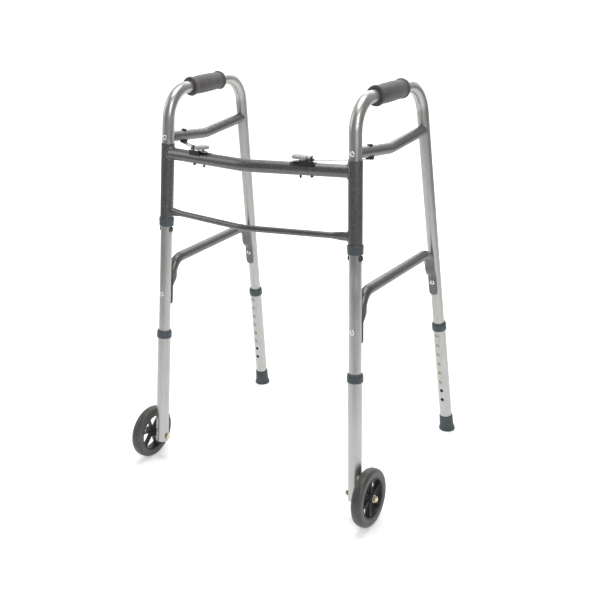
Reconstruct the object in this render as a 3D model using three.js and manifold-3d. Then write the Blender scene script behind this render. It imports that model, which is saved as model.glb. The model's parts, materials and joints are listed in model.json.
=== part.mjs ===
// Folding walking frame: two hinged side frames on a fixed front, height-adjustable legs,
// wheels at the front, rubber tips at the rear, and a push-down fold latch on each side.
// Millimetres. +Z is up, +Y runs from the front legs to the rear legs, +X is the right side.

import * as THREE from "three";
import { mergeVertices } from "three/addons/utils/BufferGeometryUtils.js";
import Module from "manifold-3d";

const wasm = await Module();
wasm.setup();

// Fit
const GAP = 0.3;
const TUBE_SIDES = 16;
const BORE_SIDES = 8;

// Side frame stance: each side frame is a plane that leans inward and backward.
const FRONT_LEG_X = 260.94;
const LEAN_IN = 0.04677;
const LEAN_BACK = 0.10106;
const YAW = THREE.MathUtils.degToRad(2.07);

// Tubes (radii)
const LEG_R = 12.7;
const LEG_BORE = 11.5;
const OUTER_LEG_R = 14.3;
const OUTER_LEG_BORE = 13.3;
const BRACE_R = 11.1;
const BRACE_BORE = 9.9;
const CROSSBAR_R = 12.7;
const LOW_BAR_R = 6.35;

// Inverted U of the side frame, in its own plane: [back, up] from the front leg at the floor.
const FRONT_END_UP = 175;
const FRONT_CORNER = [0, 854.4];
const REAR_CORNER = [267.5, 884.4];
const CORNER_RADII = [65, 68];
const REAR_FOOT = [455.95, 45.22];
const REAR_RAKE = Math.atan(0.22455);
const REAR_END_UP = 134;

// Hand grip
const GRIP_CENTRE = [129, 868.85];
const GRIP_TILT = THREE.MathUtils.degToRad(6.39);
const GRIP_HALF = 57;

// Upper brace
const UPPER_BRACE_UP = 759.4;
const UPPER_BRACE_BEND = [137, UPPER_BRACE_UP];
const UPPER_BRACE_END = [289.2, 787.9];
const UPPER_RIVET_UP = 758.9;
const BRACE_BOLT_BACK = 55;
const BRACE_BOLT_R = 3.1;
const SPACER_R = 8.5;

// Lower brace
const LOWER_BRACE_OFF = LEG_R + GAP + BRACE_R;
const FLAT_HALF = 2.5;
const FLAT_OFF = LEG_R + GAP + FLAT_HALF;
const LOWER_FRONT_END = 383;
const LOWER_FRONT_RIVET = 412.3;
const LOWER_FRONT_CORNER_UP = 483.6;
const LOWER_REAR_END = 378;
const LOWER_REAR_RIVET = 409.8;
const LOWER_REAR_CORNER = 486.7;

// Rivets and pins
const RIVET_R = 2.4;
const RIVET_HEAD_R = 5.6;
const STOP_PIN_UP = 559.4;
const STOP_PIN_R = 2.5;
const STOP_PIN_HEAD_R = 6.3;

// Sleeves that carry the side frames
const SLEEVE_FOOT = 569;
const SLEEVE_TOP = 746.5;
const SLEEVE_COLLAR = [566.8, 586];

// Height-adjustable leg extensions
const HOLE_PITCH = 25.4;
const HOLE_R = 4.2;
const FRONT_EXT = [47.4, 322.3];
const FRONT_COLLAR = [306.6, 324.8];
const FRONT_BUTTON = 196;
const FRONT_HOLES_BELOW = 2;
const REAR_EXT = [8.5, 296.6];
const REAR_COLLAR = [279.6, 299.1];
const REAR_BUTTON = 167.8;
const REAR_HOLES_BELOW = 3;
const HOLES_ABOVE = 4;
const TIP_HEIGHT = 42;

// Wheels
const AXLE_UP = 60.55;
const WHEEL_OUT = 32.1;
const WHEEL_R = 62;
const TYRE_BORE = 43.9;
const AXLE_R = 4;
const HUB_IN = OUTER_LEG_R + GAP + 0.1;
const HUB_OUT = 44.2;

// Crossbars of the front
const UPPER_BAR_UP = 721;
const UPPER_BAR_END = [227.2, 72.9];
const UPPER_BAR_APEX = 34.4;
const LOWER_BAR_UP = 596.9;
const LOWER_BAR_END = [233, 60.3];
const LOWER_BAR_APEX = 18.6;

// Fold latch. The lock pin stands in the upper crossbar; a slotted strap runs from it to the
// upper brace in a plane square to the front leg, so it stays in that plane while folding.
const LOCK_PIN_X = 117;
const LOCK_PIN = [702.8, 732, 740.5];
const LOCK_PIN_R = 2.4;
const LOCK_NECK_R = 1.6;
const STRAP_MID_UP = 736.45;
const STRAP_THICK = 1.5;
const STRAP_HALF = 6.5;
const STRAP_TAIL = 14.5;
const STRAP_HEAD = 7;
const SLOT_HALF = 3.2;
const SLOT_TAIL = 8.5;
const SLOT_SHORT = 28;
const SLIDER = [10, 5.8, 2];
const FULCRUM_OUT = 24.95;
const FULCRUM_FRONT = 4;
const FULCRUM_R = 2.2;
const PADDLE_UNDERSIDE = 738.9;
const PADDLE_PRESS = THREE.MathUtils.degToRad(5);
const SADDLE = [-19, 33.5];
const SADDLE_R = 13.7;

// Finishes: [colour, roughness, metalness]
const SILVER = ["#b9bab7", 0.38, 0.85];
const HAMMERED = ["#5d5f5e", 0.5, 0.55];
const BLUE_GREY = ["#4d565a", 0.55, 0];
const GRIP_VINYL = ["#4f4c50", 0.75, 0];
const RIVET_STEEL = ["#c4c4c2", 0.25, 1];
const DARK_STEEL = ["#3a3a3c", 0.4, 0.9];
const BLACK_PLASTIC = ["#1c1c1e", 0.5, 0];
const BRASS = ["#a58a52", 0.35, 0.9];
const TYRE_RUBBER = ["#5a5b57", 0.8, 0];
const ZINC = ["#cfc8a0", 0.35, 0.9];
const PADDLE_GREY = ["#77787c", 0.45, 0.1];
const STRAP_STEEL = ["#8f9192", 0.3, 1];

const X_AXIS = new THREE.Vector3(1, 0, 0);
const Z_AXIS = new THREE.Vector3(0, 0, 1);

// ---- solids -------------------------------------------------------------------------------

function solidOf(geometry) {
  geometry.deleteAttribute("normal");
  geometry.deleteAttribute("uv");
  const welded = mergeVertices(geometry, 1e-4);
  const triangles = [];
  for (let i = 0; i < welded.index.count; i += 3) {
    const [a, b, c] = [0, 1, 2].map((k) => welded.index.getX(i + k));
    if (a !== b && b !== c && c !== a) triangles.push(a, b, c);
  }
  return new wasm.Manifold(
    new wasm.Mesh({
      numProp: 3,
      vertProperties: new Float32Array(welded.attributes.position.array),
      triVerts: new Uint32Array(triangles),
    }),
  );
}

function geometryOf(solid) {
  const mesh = solid.getMesh();
  const geometry = new THREE.BufferGeometry();
  geometry.setAttribute("position", new THREE.BufferAttribute(mesh.vertProperties.slice(), 3));
  geometry.setIndex(new THREE.BufferAttribute(mesh.triVerts.slice(), 1));
  return geometry;
}

// Solid of revolution about Z from [radius, z] pairs, counter-clockwise seen with radius to the right.
function turned(profile, segments) {
  const points = profile.map(([radius, z]) => new THREE.Vector2(radius, z));
  const geometry = new THREE.LatheGeometry(points, segments);
  geometry.rotateX(Math.PI / 2);
  return solidOf(geometry);
}

function rod(radius, from, to, segments = 10) {
  return turned([[0, from], [radius, from], [radius, to], [0, to]], segments);
}

// Closed ring profile: outer pairs run upward, inner pairs run downward.
function bushing(outer, inner, segments) {
  return turned([...outer, ...inner, outer[0]], segments);
}

function extruded(shape, from, to) {
  const geometry = new THREE.ExtrudeGeometry(shape, {
    depth: to - from,
    bevelEnabled: false,
    curveSegments: 6,
  });
  return solidOf(geometry).translate([0, 0, from]);
}

function box(size, centre) {
  return solidOf(new THREE.BoxGeometry(...size)).translate(centre);
}

const alongX = (solid, side = 1) => solid.rotate([0, 90 * side, 0]);
const alongY = (solid) => solid.rotate([-90, 0, 0]);

// ---- bent tubes ---------------------------------------------------------------------------

function circlePoints(count, radius) {
  return Array.from({ length: count }, (_, i) => {
    const angle = (2 * Math.PI * i) / count;
    return new THREE.Vector2(radius * Math.cos(angle), radius * Math.sin(angle));
  });
}

// Stations along a bent line; radii[i] rounds the corner at points[i + 1], 0 leaves a plain station.
// Each station keeps the number of the point it belongs to.
function bentPath(points, radii, steps) {
  const stations = [];
  const last = points.length - 1;
  const heading = (i) => points[i + 1].clone().sub(points[i]).normalize();
  stations.push({ at: points[0], along: heading(0), point: 0 });
  for (let i = 1; i < last; i += 1) {
    const before = heading(i - 1);
    const after = heading(i);
    const radius = radii[i - 1];
    if (radius === 0) {
      stations.push({ at: points[i], along: before.clone().add(after).normalize(), point: i });
      continue;
    }
    const turn = before.angleTo(after);
    const inward = after.clone().addScaledVector(before, -after.dot(before)).normalize();
    const centre = points[i]
      .clone()
      .addScaledVector(before, -radius * Math.tan(turn / 2))
      .addScaledVector(inward, radius);
    for (let k = 0; k <= steps; k += 1) {
      const angle = (turn * k) / steps;
      const cos = Math.cos(angle);
      const sin = Math.sin(angle);
      stations.push({
        at: centre.clone().addScaledVector(inward, -radius * cos).addScaledVector(before, radius * sin),
        along: before.clone().multiplyScalar(cos).addScaledVector(inward, sin),
        point: i,
      });
    }
  }
  stations.push({ at: points[last], along: heading(last - 1), point: last });
  return stations;
}

// Sweeps a section along a path lying in the plane square to `across`. `sectionAt` gives the
// half sizes of the outside and the bore, and how square the section is (1 is round).
function swept(path, across, sides, boreSides, sectionAt) {
  const last = path.length - 1;
  const shape = new THREE.Shape(circlePoints(sides, 1));
  shape.holes.push(new THREE.Path(circlePoints(boreSides, 0.5)));
  const geometry = new THREE.ExtrudeGeometry(shape, { depth: last, steps: last, bevelEnabled: false });
  const position = geometry.attributes.position;
  const squared = (value, power) => Math.sign(value) * Math.abs(value) ** power;
  for (let i = 0; i < position.count; i += 1) {
    const station = path[Math.round(position.getZ(i))];
    const { outer, bore, power = 1 } = sectionAt(station);
    const inside = Math.hypot(position.getX(i), position.getY(i)) < 0.75;
    const [width, height] = inside ? bore : outer;
    const unit = inside ? 2 : 1;
    const upright = station.along.clone().cross(across);
    const point = station.at
      .clone()
      .addScaledVector(across, squared(position.getX(i) * unit, power) * width)
      .addScaledVector(upright, squared(position.getY(i) * unit, power) * height);
    position.setXYZ(i, point.x, point.y, point.z);
  }
  return solidOf(geometry);
}

const roundSection = (radius, bore) => () => ({ outer: [radius, radius], bore: [bore, bore] });
const inSide = ([back, up]) => new THREE.Vector3(0, back, up);

function straightTube(radius, bore, from, to) {
  const path = bentPath([new THREE.Vector3(0, 0, from), new THREE.Vector3(0, 0, to)], [], 0);
  return swept(path, X_AXIS, TUBE_SIDES, TUBE_SIDES, roundSection(radius, bore));
}

// ---- assembly helpers ---------------------------------------------------------------------

function addMesh(group, name, solid, [color, roughness, metalness]) {
  const material = new THREE.MeshStandardMaterial({ color, roughness, metalness });
  const mesh = new THREE.Mesh(geometryOf(solid), material);
  mesh.name = name;
  group.add(mesh);
}

function addGroup(parent, name) {
  const group = new THREE.Group();
  group.name = name;
  parent.add(group);
  return group;
}

const sideName = (side) => (side > 0 ? "right" : "left");

function placeSide(group, side) {
  const up = new THREE.Vector3(-side * LEAN_IN, LEAN_BACK, 1).normalize();
  const across = new THREE.Vector3(Math.cos(YAW), -side * Math.sin(YAW), 0);
  across.z = -(across.x * up.x + across.y * up.y) / up.z;
  across.normalize();
  const back = up.clone().cross(across);
  group.position.set(side * FRONT_LEG_X, 0, 0);
  group.quaternion.setFromRotationMatrix(new THREE.Matrix4().makeBasis(across, back, up));
  group.updateMatrixWorld(true);
}

// ---- side frame ---------------------------------------------------------------------------

// Point of the rear leg's frame given in the side frame.
function fromRearLeg(back, up) {
  const cos = Math.cos(REAR_RAKE);
  const sin = Math.sin(REAR_RAKE);
  return [REAR_FOOT[0] + back * cos - up * sin, REAR_FOOT[1] + back * sin + up * cos];
}

function inRearLeg(solid) {
  return solid
    .rotate([THREE.MathUtils.radToDeg(REAR_RAKE), 0, 0])
    .translate([0, ...REAR_FOOT]);
}

function sideTube() {
  const corners = [[0, FRONT_END_UP], FRONT_CORNER, REAR_CORNER, fromRearLeg(0, REAR_END_UP)];
  const path = bentPath(corners.map(inSide), CORNER_RADII, 6);
  return swept(path, X_AXIS, TUBE_SIDES, BORE_SIDES, roundSection(LEG_R, LEG_BORE))
    .subtract(alongX(rod(STOP_PIN_R + GAP, -20, 20)).translate([0, 0, STOP_PIN_UP]))
    .subtract(alongY(rod(RIVET_R + GAP, -20, 20)).translate([0, 0, UPPER_RIVET_UP]))
    .subtract(alongY(rod(RIVET_R + GAP, -20, 20)).translate([0, 0, LOWER_FRONT_RIVET]))
    .subtract(alongY(rod(HOLE_R, 5, 20)).translate([0, 0, FRONT_BUTTON]))
    .subtract(inRearLeg(alongY(rod(HOLE_R, -20, -5)).translate([0, 0, REAR_BUTTON])))
    .subtract(inRearLeg(alongY(rod(RIVET_R + GAP, -20, 20)).translate([0, 0, LOWER_REAR_RIVET])));
}

function grip() {
  const flange = [[16.5, 0], [19.4, 2.2], [19.9, 5.2], [18.6, 8.6]];
  const outer = [...flange.map(([radius, inset]) => [radius, inset - GRIP_HALF]), [18.7, -30], [19.3, 0]];
  const mirrored = outer.slice(0, -1).reverse().map(([radius, z]) => [radius, -z]);
  const bore = LEG_R + GAP + 0.1;
  return bushing([...outer, ...mirrored], [[bore, GRIP_HALF], [bore, -GRIP_HALF]], TUBE_SIDES);
}

function upperBrace() {
  const corners = [[0, UPPER_BRACE_UP], UPPER_BRACE_BEND, UPPER_BRACE_END];
  const path = bentPath(corners.map(inSide), [120], 3);
  const cope = rod(LEG_R + 2 * GAP, -60, 60, 16);
  const rearMiddle = fromRearLeg(0, (UPPER_BRACE_END[1] - REAR_FOOT[1]) / Math.cos(REAR_RAKE));
  return swept(path, X_AXIS, TUBE_SIDES, BORE_SIDES, roundSection(BRACE_R, BRACE_BORE))
    .subtract(cope.translate([0, 0, UPPER_BRACE_UP]))
    .subtract(
      cope
        .rotate([THREE.MathUtils.radToDeg(REAR_RAKE), 0, 0])
        .translate([0, ...rearMiddle]),
    )
    .subtract(rod(BRACE_BOLT_R + GAP, 730, 790).translate([0, BRACE_BOLT_BACK, 0]));
}

// Round tube whose two ends are pressed flat against the legs and rounded off.
function lowerBrace() {
  const rounding = [[0, 0.4], [1.5, 0.74], [4.5, 0.94], [9, 1]];
  const frontEnd = rounding.map(([up, part]) => ({
    point: [FLAT_OFF, LOWER_FRONT_END + up],
    width: 9 * part,
    flat: 1,
  }));
  const rearEnd = rounding.map(([up, part]) => ({
    point: fromRearLeg(-FLAT_OFF, LOWER_REAR_END + up),
    width: 10 * part,
    flat: 1,
  }));
  const round = { width: BRACE_R, flat: 0 };
  const knots = [
    ...frontEnd,
    { point: [FLAT_OFF, 422], width: 9, flat: 1 },
    { point: [LOWER_BRACE_OFF, 447], ...round },
    { point: [LOWER_BRACE_OFF, LOWER_FRONT_CORNER_UP], ...round, bend: 35 },
    { point: fromRearLeg(-LOWER_BRACE_OFF, LOWER_REAR_CORNER), ...round, bend: 34 },
    { point: fromRearLeg(-LOWER_BRACE_OFF, 445), ...round },
    { point: fromRearLeg(-FLAT_OFF, 419), width: 10, flat: 1 },
    ...rearEnd.reverse(),
  ];
  const bends = knots.slice(1, -1).map(({ bend = 0 }) => bend);
  const path = bentPath(knots.map(({ point }) => inSide(point)), bends, 4);
  const sectionAt = ({ point }) => {
    const { width, flat } = knots[point];
    const height = flat ? FLAT_HALF : BRACE_R;
    const wall = 1.2;
    return { outer: [width, height], bore: [width - wall, height - wall], power: flat ? 0.6 : 1 };
  };
  return swept(path, X_AXIS, 12, 8, sectionAt)
    .subtract(alongY(rod(RIVET_R + GAP, 5, 30)).translate([0, 0, LOWER_FRONT_RIVET]))
    .subtract(inRearLeg(alongY(rod(RIVET_R + GAP, -30, -5)).translate([0, 0, LOWER_REAR_RIVET])));
}

// Tubular rivet along Y, dished front head at `head`, flat tail head at `tail`.
function rivet(head, tail, tailRadius) {
  const profile = [
    [0, head - 0.2],
    [1.9, head - 0.2],
    [2.9, head - 0.9],
    [RIVET_HEAD_R - 1, head - 1.9],
    [RIVET_HEAD_R, head - 0.7],
    [RIVET_HEAD_R, head],
    [RIVET_R, head],
    [RIVET_R, tail],
  ];
  if (tailRadius > RIVET_R) profile.push([tailRadius, tail], [tailRadius, tail + 1.4]);
  profile.push([0, profile.at(-1)[1]]);
  return alongY(turned(profile, 10));
}

function stopPin() {
  const base = LEG_R + GAP;
  const head = [[STOP_PIN_HEAD_R, base], [5.4, base + 1.7], [3.1, base + 2.9], [0, base + 3.2]];
  const half = [[STOP_PIN_R, base], ...head];
  const mirrored = half.map(([radius, z]) => [radius, -z]).reverse();
  return alongX(turned([...mirrored, ...half], 10));
}

function braceBolt(foot) {
  const base = UPPER_BRACE_UP + BRACE_R + GAP;
  return turned(
    [
      [0, foot],
      [BRACE_BOLT_R, foot],
      [BRACE_BOLT_R, base],
      [6.5, base],
      [6, base + 1.6],
      [3.6, base + 2.9],
      [0, base + 3.3],
    ],
    12,
  );
}

function braceSpacer(foot) {
  const brace = alongY(rod(BRACE_R + GAP + 0.2, 30, 80, 16)).translate([0, 0, UPPER_BRACE_UP]);
  return rod(SPACER_R, foot, foot + 6.5, 16)
    .subtract(rod(BRACE_BOLT_R + GAP, foot - 5, foot + 20))
    .translate([0, BRACE_BOLT_BACK, 0])
    .subtract(brace);
}

// ---- adjustable legs ----------------------------------------------------------------------

function drilledLeg([foot, top], button, below, facing) {
  const drill = alongY(facing > 0 ? rod(HOLE_R, 5, 20, 8) : rod(HOLE_R, -20, -5, 8));
  let leg = straightTube(OUTER_LEG_R, OUTER_LEG_BORE, foot, top);
  for (let i = -below; i <= HOLES_ABOVE; i += 1) {
    leg = leg.subtract(drill.translate([0, 0, button + i * HOLE_PITCH]));
  }
  return leg;
}

function legCollar([foot, top], tubeTop) {
  const snug = OUTER_LEG_R + GAP + 0.1;
  const slide = LEG_R + GAP + 0.2;
  const lip = tubeTop + GAP;
  const outer = [[15.9, foot], [16.9, foot + 1.6], [16.7, top - 5], [15.9, top - 1.8], [14.4, top]];
  return bushing(outer, [[slide, top], [slide, lip], [snug, lip], [snug, foot]], TUBE_SIDES);
}

function sleeveCollar() {
  const [foot, top] = SLEEVE_COLLAR;
  const snug = OUTER_LEG_R + GAP + 0.1;
  const slide = LEG_R + GAP + 0.2;
  const lip = SLEEVE_FOOT - GAP;
  const outer = [[15.2, foot], [15.7, foot + 1.2], [16.4, top - 2], [15.6, top]];
  return bushing(outer, [[snug, top], [snug, lip], [slide, lip], [slide, foot]], TUBE_SIDES);
}

// Snap button along +Y, held inside the bore of the outer leg.
function snapButton() {
  return turned([[0, 7.8], [5, 7.8], [5, 9], [3.9, 9], [3.9, 11.9], [2.6, 12.6], [0, 13]], 8);
}

function rearTip(floorNormal) {
  const flared = [[18.8, -6], [19.25, 1], [19.1, 5], [17.2, 9], [16.6, 14]];
  const outer = [...flared, [15.9, TIP_HEIGHT - 1], [15.4, TIP_HEIGHT]];
  const bore = OUTER_LEG_R + GAP + 0.1;
  const seat = REAR_EXT[0] - GAP;
  return turned([[0, -6], ...outer, [bore, TIP_HEIGHT], [bore, seat], [0, seat]], TUBE_SIDES)
    .trimByPlane(floorNormal.toArray(), 0);
}

// ---- wheels -------------------------------------------------------------------------------

function tyre() {
  const half = [[WHEEL_R, 0], [61.4, 5.5], [59.4, 9.4], [56, 11.7], [46.5, 11.4], [TYRE_BORE, 10.2]];
  const mirrored = half.slice(1).map(([radius, z]) => [radius, -z]).reverse();
  return turned([...mirrored, ...half, mirrored[0]], 28).translate([0, 0, WHEEL_OUT]);
}

function hub() {
  const rimOuter = TYRE_BORE - GAP;
  const rim = bushing(
    [[rimOuter, WHEEL_OUT - 10.6], [rimOuter, WHEEL_OUT + 10.6]],
    [[rimOuter - 3.4, WHEEL_OUT + 10.6], [rimOuter - 3.4, WHEEL_OUT - 10.6]],
    28,
  );
  let spoked = rim.add(
    turned([[0, HUB_IN], [9, HUB_IN], [10.5, WHEEL_OUT], [8.2, HUB_OUT], [0, HUB_OUT]], 12),
  );
  for (let i = 0; i < 6; i += 1) {
    const spoke = box([rimOuter - 6, 3, 13], [(rimOuter - 6) / 2 + 4, 0, WHEEL_OUT]);
    spoked = spoked.add(spoke.rotate([0, 0, 15 + 60 * i]));
  }
  return spoked.subtract(rod(AXLE_R + GAP + 0.1, HUB_IN - 5, HUB_OUT + 5, 12));
}

function axleBolt() {
  const head = -OUTER_LEG_R - GAP;
  return rod(7.5, head - 4.6, head, 6).add(rod(AXLE_R, head - 1, HUB_OUT + 8, 12));
}

function axleNut() {
  const seat = HUB_OUT + GAP;
  return rod(7.3, seat, seat + 4.4, 6)
    .add(rod(5.9, seat + 4, seat + 6.2, 12))
    .subtract(rod(AXLE_R + GAP, seat - 2, seat + 10, 12));
}

// ---- front --------------------------------------------------------------------------------

function crossbar(up, [endX, endY], apexY, extraX, bend, sectionAt) {
  const slope = (endY - apexY) / endX;
  const half = extraX.map((x) => new THREE.Vector3(x, apexY + slope * x, up));
  const mirrored = half.map((point) => new THREE.Vector3(-point.x, point.y, up)).reverse();
  const corners = [...mirrored, new THREE.Vector3(0, apexY, up), ...half];
  const bends = corners.slice(1, -1).map((corner) => (corner.x === 0 ? bend : 0));
  return swept(bentPath(corners, bends, 3), Z_AXIS, TUBE_SIDES, BORE_SIDES, sectionAt);
}

// Cylinder round both sleeves, cut out of a crossbar so that its ends sit against them.
function copeSleeves(bar, sides) {
  return sides.reduce((cut, side) => {
    const cylinder = rod(OUTER_LEG_R + 2 * GAP, 500, 790, 16);
    return cut.subtract(cylinder.transform(side.matrixWorld.toArray()));
  }, bar);
}

function latchHoles(bar, latches) {
  return latches.reduce((cut, latch) => {
    const outward = latch.position.x > 0 ? 1 : -1;
    const pin = rod(LOCK_PIN_R + GAP, -30, 30);
    const fulcrum = rod(FULCRUM_R + GAP, -30, 30).translate([outward * FULCRUM_OUT, -FULCRUM_FRONT, 0]);
    return cut.subtract(pin.add(fulcrum).transform(latch.matrixWorld.toArray()));
  }, bar);
}

function lowSection({ at }) {
  const flare = THREE.MathUtils.smoothstep(Math.abs(at.x), 186, 210);
  const tall = LOW_BAR_R * (1 + 0.42 * flare);
  const thin = LOW_BAR_R * (1 - 0.28 * flare);
  return { outer: [tall, thin], bore: [tall - 1.1, thin - 1.1] };
}

// ---- fold latch, heights measured from the middle of the upper crossbar ---------------------

const overBar = (height) => height - UPPER_BAR_UP;

// Thin shell over the crossbar with a low wall along its front edge.
function latchSaddle(side) {
  const inner = CROSSBAR_R + GAP;
  const from = THREE.MathUtils.degToRad(40);
  const to = Math.PI - from;
  const shape = new THREE.Shape();
  shape.absarc(0, 0, SADDLE_R, from, to, false);
  shape.absarc(0, 0, inner, to, from, true);
  const [near, far] = SADDLE;
  const shell = extruded(shape, near, far).rotate([90, 0, 90]);
  const wall = box([30, 2.2, 11.2], [16, -10.1, overBar(738.2) - 5.6])
    .subtract(alongX(rod(inner, -60, 60, 24)));
  const bar = shell.add(wall);
  const turnedOut = side > 0 ? bar : bar.mirror([1, 0, 0]);
  return turnedOut
    .subtract(rod(LOCK_PIN_R + GAP + 0.1, 0, 30))
    .subtract(rod(FULCRUM_R + GAP, 0, 30).translate([side * FULCRUM_OUT, -FULCRUM_FRONT, 0]));
}

function fulcrumRivet(side) {
  const under = -CROSSBAR_R - GAP;
  const over = overBar(745.5);
  return turned(
    [
      [0, under - 2.4],
      [2.6, under - 2.2],
      [3.6, under - 0.9],
      [3.6, under],
      [FULCRUM_R, under],
      [FULCRUM_R, over],
      [4.3, over],
      [3.9, over + 1.3],
      [0, over + 2.2],
    ],
    14,
  ).translate([side * FULCRUM_OUT, -FULCRUM_FRONT, 0]);
}

function lockPin() {
  const [foot, neck, top] = LOCK_PIN.map(overBar);
  return turned(
    [
      [0, foot],
      [1.9, foot],
      [LOCK_PIN_R, foot + 0.6],
      [LOCK_PIN_R, neck],
      [LOCK_NECK_R, neck],
      [LOCK_NECK_R, top],
      [0, top],
    ],
    14,
  );
}

// Palm pad: narrow round the fulcrum, wide and rounded inboard. Its underside passes through
// the hinge line at the origin and rises inboard by the press angle.
function paddle(side) {
  const shape = new THREE.Shape();
  shape.moveTo(3.5, -5.5);
  shape.quadraticCurveTo(6.3, -4.5, 6.3, 0);
  shape.quadraticCurveTo(6.3, 4.5, 3.5, 5.5);
  shape.lineTo(-5, 6.5);
  shape.lineTo(-9, 12.5);
  shape.lineTo(-32, 13.5);
  shape.quadraticCurveTo(-40.5, 13, -41, 4);
  shape.quadraticCurveTo(-40.5, -8.5, -32, -9);
  shape.lineTo(-9, -8.2);
  shape.lineTo(-5, -6.2);
  const slab = new THREE.ExtrudeGeometry(shape, {
    depth: 3,
    bevelThickness: 1.3,
    bevelSize: 1.3,
    bevelOffset: -1.3,
    bevelSegments: 1,
    curveSegments: 3,
  });
  slab.translate(0, 0, 1.3);
  const position = slab.attributes.position;
  for (let i = 0; i < position.count; i += 1) {
    const inboard = THREE.MathUtils.clamp(-position.getX(i), 0, 41);
    const crown = position.getZ(i) > 1.5 ? 1.6 * Math.sin((Math.PI * inboard) / 41) : 0;
    position.setZ(i, position.getZ(i) + crown);
  }
  const tilt = THREE.MathUtils.radToDeg(PADDLE_PRESS);
  const pad = solidOf(slab).rotate([0, tilt, 0]);
  const turnedOut = side > 0 ? pad : pad.mirror([1, 0, 0]);
  return turnedOut.subtract(rod(FULCRUM_R + 0.8, -10, 20));
}

function strapShape(from, to, half) {
  const shape = new THREE.Shape();
  shape.absarc(to - half, 0, half, -Math.PI / 2, Math.PI / 2, false);
  shape.absarc(from + half, 0, half, Math.PI / 2, (3 * Math.PI) / 2, false);
  return shape;
}

// Strap along +X from the lock pin at the origin to the brace bolt at `reach`.
function strap(reach) {
  const plate = strapShape(-STRAP_TAIL, reach + STRAP_HEAD, STRAP_HALF);
  plate.holes.push(strapShape(-SLOT_TAIL, reach - SLOT_SHORT, SLOT_HALF));
  return extruded(plate, -STRAP_THICK / 2, STRAP_THICK / 2);
}

function slider() {
  return box(SLIDER, [0, 0, 0]).subtract(rod(LOCK_NECK_R + 0.4, -5, 5, 12));
}

// ---- build --------------------------------------------------------------------------------

function buildSide(parent, side) {
  const name = sideName(side);
  const frame = addGroup(parent, `${name}_side`);
  placeSide(frame, side);

  const overStrap = frame.worldToLocal(strapPin(side)).z + STRAP_THICK / 2 + GAP;
  const underFlat = FLAT_OFF + FLAT_HALF + GAP;
  addMesh(frame, `${name}_side_tube`, sideTube(), SILVER);
  addMesh(frame, `${name}_upper_brace`, upperBrace(), HAMMERED);
  addMesh(frame, `${name}_lower_brace`, lowerBrace(), HAMMERED);
  addMesh(frame, `${name}_rivet_upper_front`, rivetAt(UPPER_RIVET_UP, 19, 0), RIVET_STEEL);
  addMesh(frame, `${name}_rivet_lower_front`, rivetAt(LOWER_FRONT_RIVET, underFlat, 4.6), RIVET_STEEL);
  addMesh(frame, `${name}_stop_pin`, stopPin().translate([0, 0, STOP_PIN_UP]), DARK_STEEL);
  addMesh(frame, `${name}_brace_bolt`, braceBolt(overStrap).translate([0, BRACE_BOLT_BACK, 0]), DARK_STEEL);
  addMesh(frame, `${name}_brace_spacer`, braceSpacer(overStrap), BLACK_PLASTIC);

  const handle = addGroup(frame, `${name}_handle`);
  handle.position.copy(inSide(GRIP_CENTRE));
  handle.rotation.x = GRIP_TILT - Math.PI / 2;
  addMesh(handle, `${name}_grip`, grip(), GRIP_VINYL);

  const front = addGroup(frame, `${name}_front_leg`);
  const drilled = drilledLeg(FRONT_EXT, FRONT_BUTTON, FRONT_HOLES_BELOW, 1);
  const rolling = new THREE.Vector3(1, 0, side * LEAN_IN).normalize();
  const axle = rolling.transformDirection(frame.matrixWorld.clone().invert());
  const toe = Math.atan2(axle.y, axle.x);
  const axleHole = alongX(rod(AXLE_R + GAP, -20, 20))
    .rotate([0, 0, THREE.MathUtils.radToDeg(toe)])
    .translate([0, 0, AXLE_UP]);
  const button = snapButton();
  addMesh(front, `${name}_front_ext`, drilled.subtract(axleHole), SILVER);
  addMesh(front, `${name}_front_collar`, legCollar(FRONT_COLLAR, FRONT_EXT[1]), BLUE_GREY);
  addMesh(front, `${name}_front_button`, alongY(button).translate([0, 0, FRONT_BUTTON]), BRASS);

  const rear = addGroup(frame, `${name}_rear_leg`);
  rear.position.copy(inSide(REAR_FOOT));
  rear.rotation.x = REAR_RAKE;
  rear.updateMatrixWorld(true);
  const floorNormal = Z_AXIS.clone().transformDirection(rear.matrixWorld.clone().invert());
  const rearRivet = rivet(-underFlat, LEG_R + GAP, 4.6).translate([0, 0, LOWER_REAR_RIVET]);
  addMesh(rear, `${name}_rivet_lower_rear`, rearRivet, RIVET_STEEL);
  addMesh(rear, `${name}_rear_ext`, drilledLeg(REAR_EXT, REAR_BUTTON, REAR_HOLES_BELOW, -1), SILVER);
  addMesh(rear, `${name}_rear_collar`, legCollar(REAR_COLLAR, REAR_EXT[1]), BLUE_GREY);
  const rearButton = alongY(button.rotate([180, 0, 0])).translate([0, 0, REAR_BUTTON]);
  addMesh(rear, `${name}_rear_button`, rearButton, BRASS);
  addMesh(rear, `${name}_rear_tip`, rearTip(floorNormal), BLUE_GREY);

  const wheel = addGroup(frame, `${name}_wheel`);
  wheel.position.set(0, 0, AXLE_UP);
  wheel.rotation.z = toe;
  addMesh(wheel, `${name}_tyre`, alongX(tyre(), side), TYRE_RUBBER);
  addMesh(wheel, `${name}_hub`, alongX(hub(), side), BLACK_PLASTIC);
  addMesh(wheel, `${name}_axle_bolt`, alongX(axleBolt(), side), ZINC);
  addMesh(wheel, `${name}_axle_nut`, alongX(axleNut(), side), ZINC);
  return frame;
}

function rivetAt(up, tail, tailRadius) {
  return rivet(-LEG_R - GAP, tail, tailRadius).translate([0, 0, up]);
}

// Y of the upper crossbar's axis at a distance from the middle.
function barBack(x) {
  return UPPER_BAR_APEX + ((UPPER_BAR_END[1] - UPPER_BAR_APEX) * x) / UPPER_BAR_END[0];
}

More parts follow.
